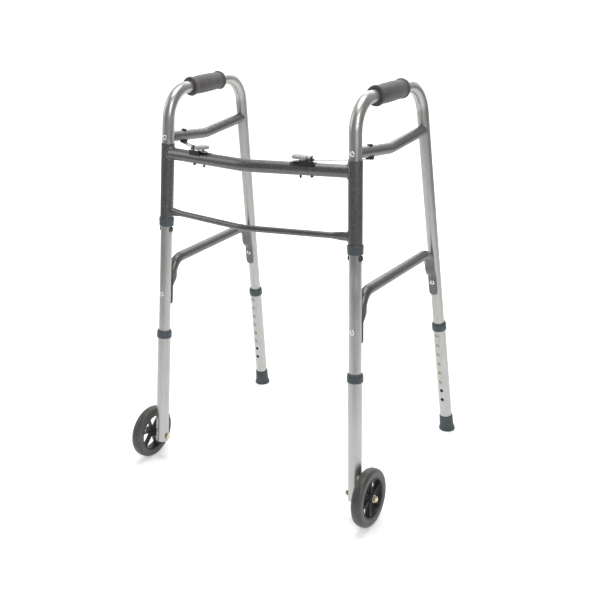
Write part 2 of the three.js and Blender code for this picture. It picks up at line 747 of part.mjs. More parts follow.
// Where the strap's mid plane crosses the lock pin.
function strapPin(side) {
  return new THREE.Vector3(side * LOCK_PIN_X, barBack(LOCK_PIN_X), STRAP_MID_UP);
}

function buildLatch(parent, side, frame) {
  const name = sideName(side);
  const latch = addGroup(parent, `${name}_latch`);
  latch.position.set(side * LOCK_PIN_X, barBack(LOCK_PIN_X), UPPER_BAR_UP);
  latch.rotation.z = side * Math.atan((UPPER_BAR_END[1] - UPPER_BAR_APEX) / UPPER_BAR_END[0]);
  latch.updateMatrixWorld(true);
  addMesh(latch, `${name}_latch_saddle`, latchSaddle(side), BLACK_PLASTIC);
  addMesh(latch, `${name}_fulcrum_rivet`, fulcrumRivet(side), DARK_STEEL);
  addMesh(latch, `${name}_lock_pin`, lockPin(), BRASS);

  const hinge = addGroup(latch, `${name}_paddle_hinge`);
  hinge.position.set(side * FULCRUM_OUT, -FULCRUM_FRONT, overBar(PADDLE_UNDERSIDE));
  addMesh(hinge, `${name}_paddle`, paddle(side), PADDLE_GREY);

  const runner = addGroup(parent, `${name}_strap_plane`);
  const pin = strapPin(side);
  const level = frame.worldToLocal(pin.clone()).z;
  const bolt = frame.localToWorld(new THREE.Vector3(0, BRACE_BOLT_BACK, level));
  const reach = bolt.distanceTo(pin);
  const along = bolt.sub(pin).normalize();
  const up = Z_AXIS.clone().transformDirection(frame.matrixWorld);
  const basis = new THREE.Matrix4().makeBasis(along, up.clone().cross(along), up);
  runner.position.copy(pin);
  runner.quaternion.setFromRotationMatrix(basis);
  addMesh(runner, `${name}_strap`, strap(reach), STRAP_STEEL);
  addMesh(runner, `${name}_slider`, slider(), BRASS);
  return latch;
}

function buildFront(parent, sides, latches) {
  const upper = crossbar(
    UPPER_BAR_UP,
    UPPER_BAR_END,
    UPPER_BAR_APEX,
    [UPPER_BAR_END[0]],
    100,
    roundSection(CROSSBAR_R, CROSSBAR_R - 1.2),
  );
  const lower = crossbar(
    LOWER_BAR_UP,
    LOWER_BAR_END,
    LOWER_BAR_APEX,
    [186, 198, 210, LOWER_BAR_END[0]],
    80,
    lowSection,
  );
  addMesh(parent, "crossbar_upper", latchHoles(copeSleeves(upper, sides), latches), HAMMERED);
  addMesh(parent, "crossbar_lower", copeSleeves(lower, sides), HAMMERED);
  for (const side of sides) {
    const name = sideName(side.position.x);
    const post = addGroup(parent, `${name}_post`);
    post.position.copy(side.position);
    post.quaternion.copy(side.quaternion);
    const sleeve = straightTube(OUTER_LEG_R, OUTER_LEG_BORE, SLEEVE_FOOT, SLEEVE_TOP);
    addMesh(post, `${name}_sleeve`, sleeve, HAMMERED);
    addMesh(post, `${name}_sleeve_collar`, sleeveCollar(), BLUE_GREY);
  }
}

const walkingFrame = new THREE.Group();
walkingFrame.name = "walking_frame";
const body = addGroup(walkingFrame, "body");
const sides = [1, -1].map((side) => buildSide(body, side));
const latches = [1, -1].map((side, i) => buildLatch(body, side, sides[i]));
buildFront(body, sides, latches);

// The frame's origin is on the floor under the middle of its outline.
const outline = new THREE.Box3().setFromObject(walkingFrame, true);
body.position.y = -(outline.min.y + outline.max.y) / 2;

export default walkingFrame;
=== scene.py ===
"""Looks of the folding walking frame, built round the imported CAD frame.

Lengths are in millimetres inside each part's own frame, which maps them to metres in the row frame.
"""

import json
import math

import bmesh
import bpy
import numpy as np
from mathutils import Matrix, Vector


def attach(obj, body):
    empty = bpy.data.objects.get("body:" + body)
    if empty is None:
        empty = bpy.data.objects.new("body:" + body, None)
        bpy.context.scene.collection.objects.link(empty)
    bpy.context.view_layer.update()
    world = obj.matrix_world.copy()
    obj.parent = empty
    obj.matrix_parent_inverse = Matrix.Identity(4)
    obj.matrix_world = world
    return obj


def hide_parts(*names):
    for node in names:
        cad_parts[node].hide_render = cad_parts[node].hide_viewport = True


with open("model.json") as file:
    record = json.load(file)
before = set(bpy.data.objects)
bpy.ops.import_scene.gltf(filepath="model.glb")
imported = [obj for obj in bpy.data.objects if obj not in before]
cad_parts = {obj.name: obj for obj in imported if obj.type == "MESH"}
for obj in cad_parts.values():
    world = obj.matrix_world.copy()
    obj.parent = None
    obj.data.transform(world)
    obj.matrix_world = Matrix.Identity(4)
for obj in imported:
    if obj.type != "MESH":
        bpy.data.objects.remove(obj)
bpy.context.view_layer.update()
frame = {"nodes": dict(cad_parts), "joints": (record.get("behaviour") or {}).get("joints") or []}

JOINTS = {joint["name"]: joint for joint in frame["joints"]}
MM = 0.001

# Tubes
LEG_R, LEG_BORE = 12.7, 11.5
SLEEVE_R, SLEEVE_BORE = 14.3, 13.3
BRACE_R = 11.1
BAR_R = 12.7
LOW_BAR_R = 6.35
GAP = 0.3

# Side frame, [back, up] in its own plane
FOLD_POINT_UP = 650.0
FRONT_END_UP = 175.0
FRONT_CORNER = (0.0, 854.4)
REAR_CORNER = (267.5, 884.4)
REAR_FOOT = (455.95, 45.22)
REAR_RAKE = math.atan(0.22455)
GRIP_CENTRE = (129.0, 868.85)
GRIP_TILT = math.radians(6.39)
GRIP_HALF = 57.0
FLAT_HALF = 2.5
FLAT_OFF = LEG_R + GAP + FLAT_HALF
BRACE_OFF = LEG_R + GAP + BRACE_R
UPPER_BRACE_UP = 759.4
BRACE_WALL = 1.2
UPPER_RIVET_UP = 758.9
BRACE_BOLT_BACK = 55.0
REAR_END_UP = 134.0
HANDLE_BENDS = (65, 68)
LOWER_FRONT_RIVET = 412.3
LOWER_REAR_RIVET = 409.8
STOP_PIN_UP = 559.4

# Flat ends of the lower brace: its end, the top of the flat, and where it is round again
FRONT_FLAT, REAR_FLAT = (383.0, 424.0, 449.0), (378.0, 420.0, 447.0)

# Adjustable legs
HOLE_PITCH, HOLE_R = 25.4, 4.2
FRONT_EXT, FRONT_COLLAR, FRONT_BUTTON = (47.4, 322.3), (306.6, 324.8), 196.0
REAR_EXT, REAR_COLLAR, REAR_BUTTON = (8.5, 296.6), (279.6, 299.1), 167.8
TIP_HEIGHT = 42.0

# Wheels
WHEEL_OUT, WHEEL_R, TYRE_BORE = 32.1, 62.0, 43.9
HUB_IN, HUB_OUT = 14.7, 44.2
AXLE_HOLE_R = 4.3

# Front
UPPER_BAR = {"up": 721.0, "end": (227.2, 72.9), "apex": 34.4}
LOWER_BAR = {"up": 596.9, "end": (233.0, 60.3), "apex": 18.6}
BAR_WALL = 1.2
SLEEVE_ENDS, SLEEVE_COLLAR = (569.0, 746.5), (566.8, 586.0)
FULCRUM = (24.95, -4.0)
PRESS_ANGLE = math.radians(5)
PADDLE_UP, FULCRUM_TOP_UP = 738.9, 745.5
STRAP_REACH, STRAP_HALF_THICK = 134.59, 0.75

# Direction the camera looks along, in radians round from +Y
AZIMUTH = math.radians(32.101)


# ---- node materials -----------------------------------------------------------------------


class Graph:
    """A small wrapper round a material's node tree."""

    def __init__(self, name):
        self.material = bpy.data.materials.new(name)
        self.material.use_nodes = True
        self.tree = self.material.node_tree
        self.shader = self.tree.nodes["Principled BSDF"]
        self.place = self.tree.nodes.new("ShaderNodeTexCoord").outputs["Object"]

    def node(self, kind, inputs=None, **settings):
        node = self.tree.nodes.new(kind)
        for key, value in settings.items():
            setattr(node, key, value)
        for key, value in (inputs or {}).items():
            self.feed(node.inputs[key], value)
        return node

    def feed(self, socket, value):
        if isinstance(value, bpy.types.NodeSocket):
            self.tree.links.new(value, socket)
        else:
            socket.default_value = value

    def stretched(self, scale):
        return self.node("ShaderNodeMapping", {"Vector": self.place, "Scale": scale}).outputs["Vector"]

    def noise(self, scale, detail=3.0, rough=0.55, vector=None):
        inputs = {"Vector": vector or self.place, "Scale": scale, "Detail": detail, "Roughness": rough}
        return self.node("ShaderNodeTexNoise", inputs).outputs["Fac"]

    def cells(self, scale, smooth=0.6, vector=None):
        node = self.node("ShaderNodeTexVoronoi", {"Vector": vector or self.place, "Scale": scale})
        node.feature = "SMOOTH_F1"
        node.inputs["Smoothness"].default_value = smooth
        return node.outputs["Distance"]

    def spread(self, value, low, high, out_low=0.0, out_high=1.0):
        inputs = {"Value": value, "From Min": low, "From Max": high, "To Min": out_low, "To Max": out_high}
        return self.node("ShaderNodeMapRange", inputs).outputs["Result"]

    def smooth(self, value, low, high):
        inputs = {"Value": value, "From Min": low, "From Max": high}
        node = self.node("ShaderNodeMapRange", inputs, interpolation_type="SMOOTHSTEP")
        return node.outputs["Result"]

    def ramp(self, value, stops):
        node = self.node("ShaderNodeValToRGB", {"Fac": value})
        while len(node.color_ramp.elements) < len(stops):
            node.color_ramp.elements.new(0.5)
        for element, (at, colour) in zip(node.color_ramp.elements, stops):
            element.position = at
            element.color = (*colour, 1)
        return node.outputs["Color"]

    def mix(self, amount, a, b):
        node = self.node("ShaderNodeMix", data_type="RGBA")
        for socket, value in zip((node.inputs[0], node.inputs[6], node.inputs[7]), (amount, a, b)):
            self.feed(socket, (*value, 1) if isinstance(value, tuple) else value)
        return node.outputs[2]

    def math(self, operation, a, b):
        return self.node("ShaderNodeMath", {0: a, 1: b}, operation=operation).outputs[0]

    def bump(self, height, strength, distance):
        inputs = {"Height": height, "Strength": strength, "Distance": distance}
        self.feed(self.shader.inputs["Normal"], self.node("ShaderNodeBump", inputs).outputs["Normal"])

    def set(self, **values):
        for key, value in values.items():
            self.feed(self.shader.inputs[key.replace("_", " ")], value)


def metal(name, dull, bright, rough, streak=(1, 1, 1), metallic=0.9, scuff=0.5, grain=0.12):
    """Satin metal: cloudy colour, fine streaks along one direction, and small bright scuffs."""
    g = Graph(name)
    streaks = g.noise(260, 4, 0.6, g.stretched(streak))
    cloud = g.noise(14, 3)
    tone = g.math("ADD", g.math("MULTIPLY", streaks, 0.55), g.math("MULTIPLY", cloud, 0.45))
    base = g.ramp(tone, [(0.3, dull), (0.7, bright)])
    scuffs = g.spread(g.noise(75, 6, 0.75), 0.6, 0.7, 0, scuff)
    worn = tuple(min(1, 1.12 * c) for c in bright)
    g.set(Base_Color=g.mix(scuffs, base, worn), Metallic=metallic)
    g.set(Roughness=g.spread(tone, 0.3, 0.7, rough - 0.07, rough + 0.09))
    g.bump(g.math("ADD", streaks, g.math("MULTIPLY", scuffs, 0.4)), grain, 0.0004)
    return g.material


def hammered(name):
    """Hammered enamel: rounded dimples about 3 mm across, and fine metallic flecks."""
    g = Graph(name)
    warp = g.node("ShaderNodeVectorMath", {0: g.place, 1: (0, 0, 0)}, operation="ADD")
    shift = g.node("ShaderNodeTexNoise", {"Vector": g.place, "Scale": 90.0}).outputs["Color"]
    small = g.node("ShaderNodeVectorMath", {0: shift, 3: 0.004}, operation="SCALE")
    g.feed(warp.inputs[1], small.outputs[0])
    dimples = g.cells(330, 0.8, warp.outputs[0])
    flecks = g.noise(1400, 2)
    cloud = g.noise(18, 3)
    relief = g.math("MULTIPLY", g.spread(dimples, 0.1, 0.75), 0.6)
    tone = g.math("ADD", relief, g.math("MULTIPLY", cloud, 0.4))
    greys = [(0.22, (0.1, 0.101, 0.101)), (0.5, (0.128, 0.129, 0.129)), (0.8, (0.16, 0.161, 0.16))]
    base = g.ramp(tone, greys)
    shine = g.spread(flecks, 0.56, 0.7, 0, 0.2)
    g.set(Base_Color=g.mix(shine, base, (0.26, 0.262, 0.26)), Metallic=0.75)
    g.set(Roughness=g.spread(tone, 0.2, 0.8, 0.34, 0.44))
    g.shader.inputs["Coat Weight"].default_value = 0.35
    g.shader.inputs["Coat Roughness"].default_value = 0.22
    g.bump(dimples, 0.22, 0.0004)
    return g.material


def polymer(name, dark, light, rough, grain_scale, grain, dust=0.12, dusty=(0.45, 0.45, 0.44), specular=0.4):
    """Moulded plastic or rubber: soft colour clouds, fine grain, pale dust and rub marks."""
    g = Graph(name)
    cloud = g.noise(22, 4)
    fine = g.noise(grain_scale, 3, 0.6)
    tone = g.math("ADD", g.math("MULTIPLY", cloud, 0.65), g.math("MULTIPLY", fine, 0.35))
    base = g.ramp(tone, [(0.32, dark), (0.68, light)])
    rubs = g.spread(g.noise(60, 7, 0.7), 0.56, 0.74, 0, dust)
    g.set(Base_Color=g.mix(rubs, base, dusty))
    g.set(Roughness=g.spread(tone, 0.3, 0.7, rough - 0.06, rough + 0.08))
    g.shader.inputs["Specular IOR Level"].default_value = specular
    g.bump(fine, grain, 0.0005)
    return g.material


def grained_vinyl(name):
    """Soft grip vinyl: leathery cells with folded creases round the bar."""
    g = Graph(name)
    pebbles = g.cells(620, 0.45)
    creases = g.noise(95, 5, 0.7, g.stretched((1, 0.45, 1)))
    cloud = g.noise(30, 3)
    tone = g.math("ADD", g.math("MULTIPLY", creases, 0.5), g.math("MULTIPLY", cloud, 0.5))
    greys = [(0.3, (0.04, 0.036, 0.039)), (0.5, (0.07, 0.064, 0.068)), (0.72, (0.11, 0.102, 0.107))]
    base = g.ramp(tone, greys)
    worn = g.spread(g.noise(40, 6, 0.7), 0.58, 0.75, 0, 0.3)
    g.set(Base_Color=g.mix(worn, base, (0.15, 0.142, 0.148)))
    g.set(Roughness=g.spread(tone, 0.3, 0.7, 0.5, 0.68))
    g.shader.inputs["Sheen Weight"].default_value = 0.15
    height = g.math("ADD", g.math("MULTIPLY", pebbles, 0.6), g.math("MULTIPLY", creases, 1.0))
    g.bump(height, 0.45, 0.0009)
    return g.material


BLUE_GREY = (0.046, 0.06, 0.068), (0.076, 0.094, 0.103)
RUBBER_GREY = (0.04, 0.052, 0.058), (0.068, 0.084, 0.091)

MATERIALS = {
    "silver_tube": metal("satin_aluminium", (0.4, 0.4, 0.39), (0.52, 0.52, 0.505), 0.34, (1, 1, 0.05)),
    "hammered_grey": hammered("hammered_enamel"),
    "rivet_steel": metal("bright_plate", (0.62, 0.62, 0.61), (0.84, 0.84, 0.83), 0.24, scuff=0.2),
    "dark_steel": metal("blackened_steel", (0.05, 0.05, 0.052), (0.12, 0.12, 0.125), 0.34, metallic=0.8),
    "black_plastic": polymer("black_moulding", (0.012, 0.012, 0.013), (0.032, 0.032, 0.034), 0.42, 500, 0.15),
    "grip_vinyl": grained_vinyl("grained_vinyl"),
    "collar_plastic": polymer("blue_grey_moulding", *BLUE_GREY, 0.4, 700, 0.1),
    "brass": metal("turned_brass", (0.4, 0.27, 0.1), (0.66, 0.5, 0.22), 0.32),
    "tip_rubber": polymer("blue_grey_rubber", *RUBBER_GREY, 0.55, 900, 0.3, 0.1),
    "tyre_rubber": polymer("grey_tyre", (0.048, 0.049, 0.046), (0.076, 0.077, 0.072), 0.38, 650, 0.12, 0.1),
    "zinc": metal("yellow_zinc", (0.5, 0.45, 0.27), (0.82, 0.78, 0.6), 0.3),
    "paddle_plastic": polymer("grey_satin", (0.26, 0.265, 0.275), (0.36, 0.365, 0.38), 0.3, 420, 0.08),
    "strap_steel": metal("stamped_steel", (0.4, 0.41, 0.42), (0.62, 0.63, 0.63), 0.28, (0.06, 1, 1)),
}


# ---- mesh building ------------------------------------------------------------------------


def linked(name, bm):
    """New object in the scene from a bmesh, which is used up."""
    mesh = bpy.data.meshes.new(name)
    bm.to_mesh(mesh)
    bm.free()
    obj = bpy.data.objects.new(name, mesh)
    bpy.context.scene.collection.objects.link(obj)
    return obj


def finish_mesh(name, bm, place, body, nodes, slot, sharp=35.0):
    """Moves a mesh from its own millimetres to the row frame and hands it to a body."""
    bmesh.ops.transform(bm, matrix=place, verts=bm.verts)
    bmesh.ops.remove_doubles(bm, verts=bm.verts, dist=2e-6)
    bmesh.ops.dissolve_degenerate(bm, edges=bm.edges, dist=1e-6)
    bmesh.ops.recalc_face_normals(bm, faces=bm.faces)
    limit = math.radians(sharp)
    for face in bm.faces:
        face.smooth = True
    for edge in bm.edges:
        edge.smooth = len(edge.link_faces) == 2 and edge.calc_face_angle(0) < limit
    piece = linked(name, bm)
    piece.data.materials.append(MATERIALS[slot])
    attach(piece, body)
    if nodes:
        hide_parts(*nodes)
    return piece


def loft(bm, rings, closed_path=False, cap_start=False, cap_end=False):
    """Skins rings of equal length with quads."""
    loops = [[bm.verts.new(point) for point in ring] for ring in rings]
    pairs = list(zip(loops, loops[1:]))
    if closed_path:
        pairs.append((loops[-1], loops[0]))
    count = len(loops[0])
    for low, high in pairs:
        for i in range(count):
            j = (i + 1) % count
            bm.faces.new((low[i], low[j], high[j], high[i]))
    if cap_start:
        bm.faces.new(loops[0][::-1])
    if cap_end:
        bm.faces.new(loops[-1])
    return loops


def eased(profile, radius, steps=3, closed=False):
    """Rounds the corners of a list of [radius, height] pairs by a small arc."""
    points = [Vector(p) for p in profile]
    count = len(points)
    out = []
    for i, point in enumerate(points):
        if not closed and i in (0, count - 1):
            out.append(tuple(point))
            continue
        before, after = points[i - 1] - point, points[(i + 1) % count] - point
        cut = min(radius, 0.42 * before.length, 0.42 * after.length)
        start, end = point + before.normalized() * cut, point + after.normalized() * cut
        for k in range(steps + 1):
            t = k / steps
            out.append(tuple(start * (1 - t) ** 2 + point * 2 * t * (1 - t) + end * t * t))
    return out


def turned(profile, segments=48, closed=False, ripple=None):
    """Solid of revolution about Z. `ripple(angle, radius, height)` scales the radius."""
    bm = bmesh.new()
    columns = []
    for k in range(segments):
        angle = 2 * math.pi * k / segments
        column = []
        for radius, height in profile:
            r = radius * (ripple(angle, radius, height) if ripple else 1)
            column.append(Vector((r * math.cos(angle), r * math.sin(angle), height)))
        columns.append(column)
    rings = [[column[i] for column in columns] for i in range(len(profile))]
    loft(bm, rings, closed_path=closed)
    bmesh.ops.remove_doubles(bm, verts=bm.verts, dist=1e-4)
    return bm


def about(bm, matrix):
    """The same mesh, moved."""
    bmesh.ops.transform(bm, matrix=matrix, verts=bm.verts)
    return bm


def joined(*parts):
    """One mesh from several."""
    out = bmesh.new()
    for part in parts:
        scratch = bpy.data.meshes.new("scratch")
        part.to_mesh(scratch)
        part.free()
        out.from_mesh(scratch)
        bpy.data.meshes.remove(scratch)
    return out


def rod_mesh(radius, low, high, segments=32):
    return turned(eased([(0, low), (radius, low), (radius, high), (0, high)], 0.3), segments)


def bent_path(points, radii, steps=20):
    """Stations (point, direction, number of the corner) along a line with rounded corners."""
    points = [Vector(p) for p in points]
    heads = [(b - a).normalized() for a, b in zip(points, points[1:])]
    stations = [(points[0], heads[0], 0)]
    for i in range(1, len(points) - 1):
        before, after, radius = heads[i - 1], heads[i], radii[i - 1]
        if radius == 0:
            stations.append((points[i], (before + after).normalized(), i))
            continue
        turn = before.angle(after)
        inward = (after - before * after.dot(before)).normalized()
        centre = points[i] - before * radius * math.tan(turn / 2) + inward * radius
        for k in range(steps + 1):
            angle = turn * k / steps
            at = centre - inward * radius * math.cos(angle) + before * radius * math.sin(angle)
            stations.append((at, before * math.cos(angle) + inward * math.sin(angle), i))
    stations.append((points[-1], heads[-1], len(points) - 1))
    return stations


def section(station, across, width, height, sides, power=1.0):
    at, along, _ = station
    upright = along.cross(across)
    ring = []
    for k in range(sides):
        angle = 2 * math.pi * k / sides
        c, s = math.cos(angle), math.sin(angle)
        x = math.copysign(abs(c) ** power, c) * width
        y = math.copysign(abs(s) ** power, s) * height
        ring.append(at + across * x + upright * y)
    return ring


def tube(stations, across, radius, bore, sides=40, ease=0.35):
    """Round tube with softly broken edges at its two open ends."""
    first, last = stations[0], stations[-1]
    start, end = (first[0] + first[1] * ease, first[1], 0), (last[0] - last[1] * ease, last[1], 0)
    lead = [start, *stations[1:-1], end]
    rings = [section(first, across, radius - ease, radius - ease, sides)]
    rings += [section(s, across, radius, radius, sides) for s in lead]
    rings.append(section(last, across, radius - ease, radius - ease, sides))
    rings.append(section(last, across, bore, bore, sides))
    rings += [section(s, across, bore, bore, sides) for s in lead[::-1]]
    rings.append(section(first, across, bore, bore, sides))
    bm = bmesh.new()
    loft(bm, rings, closed_path=True)
    return bm


def straight(low, high):
    return bent_path([(0, 0, low), (0, 0, high)], [])


def drilled(name, bm, cutters, place, body, nodes, slot):
    """Cuts holes into a tube and breaks their edges."""
    blanks = [linked("blank", part) for part in (bm, joined(*cutters))]
    cut = blanks[0].modifiers.new("cut", "BOOLEAN")
    cut.operation, cut.object, cut.solver = "DIFFERENCE", blanks[1], "EXACT"
    bpy.context.view_layer.update()
    seen = blanks[0].evaluated_get(bpy.context.evaluated_depsgraph_get())
    out = bmesh.new()
    out.from_mesh(seen.to_mesh())
    seen.to_mesh_clear()
    for blank in blanks:
        bpy.data.objects.remove(blank)
    return finish_mesh(name, out, place, body, nodes, slot)


def weld_bead(name, points, normals, radius, place, body, seed):
    """Rippled fillet of weld metal along a closed line."""
    random = np.random.default_rng(seed)
    count = len(points)
    rings = []
    for i, (point, normal) in enumerate(zip(points, normals)):
        along = (points[(i + 1) % count] - points[i - 1]).normalized()
        side = along.cross(normal).normalized()
        ripple = 1 + 0.1 * math.sin(2 * math.pi * i / 5) + 0.08 * float(random.uniform(-1, 1))
        rings.append(
            [
                point + (side * math.cos(a) + normal * math.sin(a)) * radius * ripple
                for a in (2 * math.pi * k / 12 for k in range(12))
            ]
        )
    bm = bmesh.new()
    loft(bm, rings, closed_path=True)
    return finish_mesh(name, bm, place, body, (), "hammered_grey", 60)


# ---- frames of the bodies -----------------------------------------------------------------


def placed(origin, x, y, z):
    """Matrix from a frame's millimetres to the row frame's metres; origin is in metres."""
    rows = Matrix((x, y, z)).transposed().to_4x4()
    return Matrix.Translation(origin) @ rows @ Matrix.Scale(MM, 4)


def side_frame(name, side):
    fold = JOINTS[f"{name}_fold"]
    up = Vector(fold["axis"]) * side
    back = -Vector(JOINTS[f"{name}_front_snap_press"]["axis"])
    up.normalize()
    back.normalize()
    origin = Vector(fold["pos_m"]) - up * FOLD_POINT_UP * MM
    return placed(origin, back.cross(up), back, up)


def in_side(back, up):
    return Vector((0, back, up))


def from_rear_leg(back, up):
    c, s = math.cos(REAR_RAKE), math.sin(REAR_RAKE)
    return in_side(REAR_FOOT[0] + back * c - up * s, REAR_FOOT[1] + back * s + up * c)


REAR_IN_SIDE = Matrix.Translation(in_side(*REAR_FOOT)) @ Matrix.Rotation(REAR_RAKE, 4, "X")
HANDLE_IN_SIDE = Matrix.Translation(in_side(*GRIP_CENTRE)) @ Matrix.Rotation(GRIP_TILT - math.pi / 2, 4, "X")
TO_Y = Matrix.Rotation(-math.pi / 2, 4, "X")
X_AXIS, Z_AXIS = Vector((1, 0, 0)), Vector((0, 0, 1))


def up_by(height):
    return Matrix.Translation((0, 0, height))


# ---- side frames --------------------------------------------------------------------------


def side_tube():
    front, rear = in_side(0, FRONT_END_UP), from_rear_leg(0, REAR_END_UP)
    corners = [front, in_side(*FRONT_CORNER), in_side(*REAR_CORNER), rear]
    return tube(bent_path(corners, HANDLE_BENDS, 28), X_AXIS, LEG_R, LEG_BORE, 48)


def upper_brace():
    corners = [in_side(LEG_R - 3, UPPER_BRACE_UP), in_side(137, UPPER_BRACE_UP), in_side(289.2, 787.9)]
    return tube(bent_path(corners, [120], 16), X_AXIS, BRACE_R, BRACE_R - BRACE_WALL, 44)


def lower_brace():
    """Round tube whose ends are pressed flat against the legs."""
    half = FLAT_HALF

    def knots(offset, ends, width, at):
        end, flat_top, round_from = ends
        out = []
        for up, part in ((0, 0.3), (0.5, 0.5), (1.5, 0.74), (3, 0.88), (5.5, 0.97), (9, 1)):
            out.append((at(offset[0], end + up), width * part, half, 0.6))
        for k in range(9):
            t = k / 8
            ease = t * t * (3 - 2 * t)
            off = offset[0] + (offset[1] - offset[0]) * ease
            up = flat_top + (round_from - flat_top) * t
            size = (width + (BRACE_R - width) * ease, half + (BRACE_R - half) * ease)
            out.append((at(off, up), *size, 0.6 + 0.4 * ease))
        return out

    front = knots((FLAT_OFF, BRACE_OFF), FRONT_FLAT, 9.6, in_side)
    rear = knots((-FLAT_OFF, -BRACE_OFF), REAR_FLAT, 10.4, from_rear_leg)
    corners = [in_side(BRACE_OFF, 483.6), from_rear_leg(-BRACE_OFF, 486.7)]
    middle = bent_path([front[-1][0], *corners, rear[-1][0]], [35, 34], 18)[1:-1]
    rounds = [(at, BRACE_R, BRACE_R, 1.0) for at, _, _ in middle]
    line = front + rounds + rear[::-1]
    rings = []
    for i, (at, width, height, power) in enumerate(line):
        low, high = line[max(i - 1, 0)][0], line[min(i + 1, len(line) - 1)][0]
        rings.append(section((at, (high - low).normalized(), 0), X_AXIS, width, height, 36, power))
    bm = bmesh.new()
    loft(bm, rings, cap_start=True, cap_end=True)
    return bm


RIVET_SHANK_R = 2.4


def rivet(head, tail, tail_radius):
    """Tubular rivet along Y with a dished head; a tail wider than its shank is spread flat."""
    profile = [
        (0, head + 2.6),
        (1.8, head + 2.6),
        (1.9, head - 0.2),
        (2.7, head - 1.3),
        (3.6, head - 1.9),
        (4.8, head - 1.7),
        (5.6, head - 0.7),
        (5.6, head),
        (RIVET_SHANK_R, head),
        (RIVET_SHANK_R, tail),
    ]
    if tail_radius > RIVET_SHANK_R:
        profile += [(tail_radius, tail), (tail_radius, tail + 0.8), (tail_radius - 1.2, tail + 1.4)]
    profile.append((0, profile[-1][1]))
    return about(turned(eased(profile, 0.5), 36), TO_Y)


def stop_pin():
    base = LEG_R + GAP
    half = [(2.5, base), (6.3, base), (6.3, base + 0.6)]
    half += [(5.2, base + 1.9), (3.1, base + 2.8), (0, base + 3.2)]
    profile = [(r, -z) for r, z in half[::-1]] + half
    return about(turned(eased(profile, 0.6), 36), Matrix.Rotation(math.pi / 2, 4, "Y"))


def brace_bolt(foot):
    base = UPPER_BRACE_UP + BRACE_R + GAP
    shank = [(0, foot), (3.1, foot), (3.1, base)]
    head = [(6.5, base), (6.4, base + 0.9), (5.2, base + 2.3), (2.8, base + 3.1), (0, base + 3.3)]
    return turned(eased(shank + head, 0.5), 36)


def grip():
    """Slightly barrelled vinyl grip with a rolled flange at each end."""
    flange = [(0, 13.6), (0, 16.6), (0.8, 19.0), (2.6, 20.3)]
    flange += [(5.0, 20.5), (7.0, 19.6), (8.8, 18.0), (11.5, 17.9)]
    half = [(GRIP_HALF - inset, radius) for inset, radius in flange]
    half += [(36.0, 18.6), (24.0, 19.2), (10.0, 19.5)]
    outer = [(r, -z) for z, r in half] + [(r, z) for z, r in half[::-1]]
    profile = eased(outer + [(13.1, GRIP_HALF - 2), (13.1, 2 - GRIP_HALF)], 1.2, 4, True)

    def squeezed(angle, radius, height):
        if radius < 14:
            return 1
        folds = 0.008 * math.sin(7 * angle + 0.13 * height) * math.exp(-(((abs(height) - 42) / 12) ** 2))
        return 1 + folds

    return turned(profile, 72, True, squeezed)


def leg_collar(low, high, tube_top):
    outer = [(15.9, low), (16.9, low + 1.6), (16.8, high - 6)]
    outer += [(16.2, high - 2.6), (15.2, high - 0.7), (14.3, high)]
    inner = [(13.2, high), (13.2, tube_top + GAP), (14.7, tube_top + GAP), (14.7, low)]
    return turned(eased(outer + inner, 0.7, 3, True), 64, True)


def sleeve_collar():
    low, high = SLEEVE_COLLAR
    lip = SLEEVE_ENDS[0] - GAP
    outer = [(15.2, low), (15.8, low + 1.2), (16.4, high - 2.2), (15.7, high)]
    inner = [(14.7, high), (14.7, lip), (13.2, lip), (13.2, low)]
    return turned(eased(outer + inner, 0.6, 3, True), 64, True)


def drills(button, below, above, facing):
    turn = TO_Y if facing > 0 else TO_Y @ Matrix.Rotation(math.pi, 4, "X")
    out = []
    for i in range(-below, above + 1):
        hole = turned([(0, 6), (HOLE_R, 6), (HOLE_R, 13.9), (HOLE_R + 1.2, 15), (0, 15)], 28)
        out.append(about(hole, up_by(button + i * HOLE_PITCH) @ turn))
    return out


def snap_button():
    profile = [(0, 7.8), (5, 7.8), (5, 9), (3.9, 9), (3.9, 11.6), (3.3, 12.4), (2.0, 12.9), (0, 13)]
    return turned(eased(profile, 0.4), 32)


def rear_tip(place):
    flare = [(0, -6), (18.8, -6), (19.25, 1), (19.2, 4.6), (18.6, 7.0), (17.5, 9.4), (16.9, 13)]
    neck = [(16.3, 26), (15.9, TIP_HEIGHT - 1.4), (15.2, TIP_HEIGHT)]
    bore = [(14.8, TIP_HEIGHT), (14.7, 8.2), (0, 8.2)]
    bm = turned(eased(flare + neck + bore, 0.8), 64)
    inverse = place.inverted()
    floor = inverse @ Vector((0, 0, 0))
    normal = (inverse.to_3x3() @ Vector((0, 0, 1))).normalized()
    everything = bm.verts[:] + bm.edges[:] + bm.faces[:]
    cut = bmesh.ops.bisect_plane(bm, geom=everything, plane_co=floor, plane_no=normal, clear_inner=True)
    rim = [e for e in cut["geom_cut"] if isinstance(e, bmesh.types.BMEdge)]
    bmesh.ops.contextual_create(bm, geom=rim)
    return bm


# ---- wheels -------------------------------------------------------------------------------


def tyre():
    half = [
        (WHEEL_R, 0),
        (61.9, 2.6),
        (61.2, 6.2),
        (59.6, 9.2),
        (57.4, 11.0),
        (55.0, 11.7),
        (52.6, 11.75),
        (51.8, 11.35),
        (50.8, 11.7),
        (47.6, 11.45),
        (45.4, 10.9),
        (TYRE_BORE, 10.2),
    ]
    profile = [(r, -z) for r, z in half[:0:-1]] + half
    return about(turned(eased(profile, 0.7, 3, True), 112, True), up_by(WHEEL_OUT))


SPOKE_SECTION = [(1, 0.7), (0.72, 1), (-0.72, 1), (-1, 0.7), (-1, -0.7), (-0.72, -1), (0.72, -1), (1, -0.7)]


